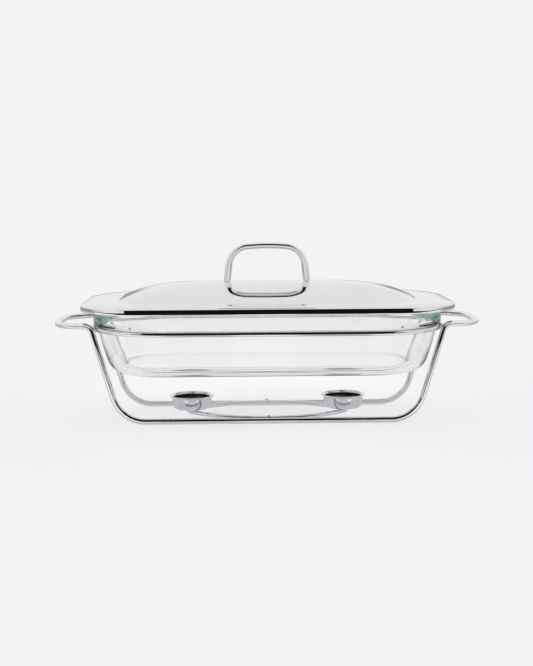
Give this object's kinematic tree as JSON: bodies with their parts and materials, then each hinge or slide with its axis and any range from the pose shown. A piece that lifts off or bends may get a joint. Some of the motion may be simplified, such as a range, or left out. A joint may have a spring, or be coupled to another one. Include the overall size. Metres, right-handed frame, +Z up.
{
  "type": "tealight buffet server",
  "caption": "Wire stand with end handles and tealight cups that carries a rectangular glass dish under a domed steel lid with an arched handle.",
  "frame": {"origin": "on the table under the middle of the stand, which is the bottom centre of the bounding box", "axes": "+X along the length towards the right end handle, +Y to the back, +Z up"},
  "size_m": [0.431, 0.1962, 0.1797],
  "materials": {
    "wire_chrome": "bright chrome plate on round steel wire",
    "weld_metal": "plated over, slightly rough weld beads",
    "cup_steel": "bright spun stainless steel",
    "dish_glass": "clear pressed borosilicate glass, green at its thick edges",
    "lid_steel": "mirror-polished pressed stainless steel",
    "handle_steel": "mirror-polished stainless steel",
    "fastener_steel": "plain zinc-plated steel"
  },
  "bodies": {
    "stand": {"front_frame_wire": "wire_chrome", "rear_frame_wire": "wire_chrome", "butt_weld_left": "weld_metal", "butt_weld_right": "weld_metal", "dish_ring": "wire_chrome", "ring_weld_front_left": "weld_metal", "ring_weld_front_right": "weld_metal", "ring_weld_rear_left": "weld_metal", "ring_weld_rear_right": "weld_metal", "candle_ring": "wire_chrome", "candle_ring_weld_front": "weld_metal", "candle_ring_weld_rear": "weld_metal", "candle_cup_left": "cup_steel", "candle_cup_right": "cup_steel", "cup_weld_left": "weld_metal", "cup_weld_right": "weld_metal"},
    "dish": {"glass_dish": "dish_glass"},
    "lid": {"lid_shell": "lid_steel", "lid_handle": "handle_steel", "screw_left": "fastener_steel", "screw_right": "fastener_steel", "washer_left": "fastener_steel", "washer_right": "fastener_steel"}
  },
  "joints": [
    {"name": "dish_lift", "type": "slide", "parent": "stand", "child": "dish", "axis": [0, 0, 1], "range_m": [0, 0.08]},
    {"name": "lid_lift", "type": "slide", "parent": "dish", "child": "lid", "axis": [0, 0, 1], "range_m": [0, 0.08]}
  ]
}
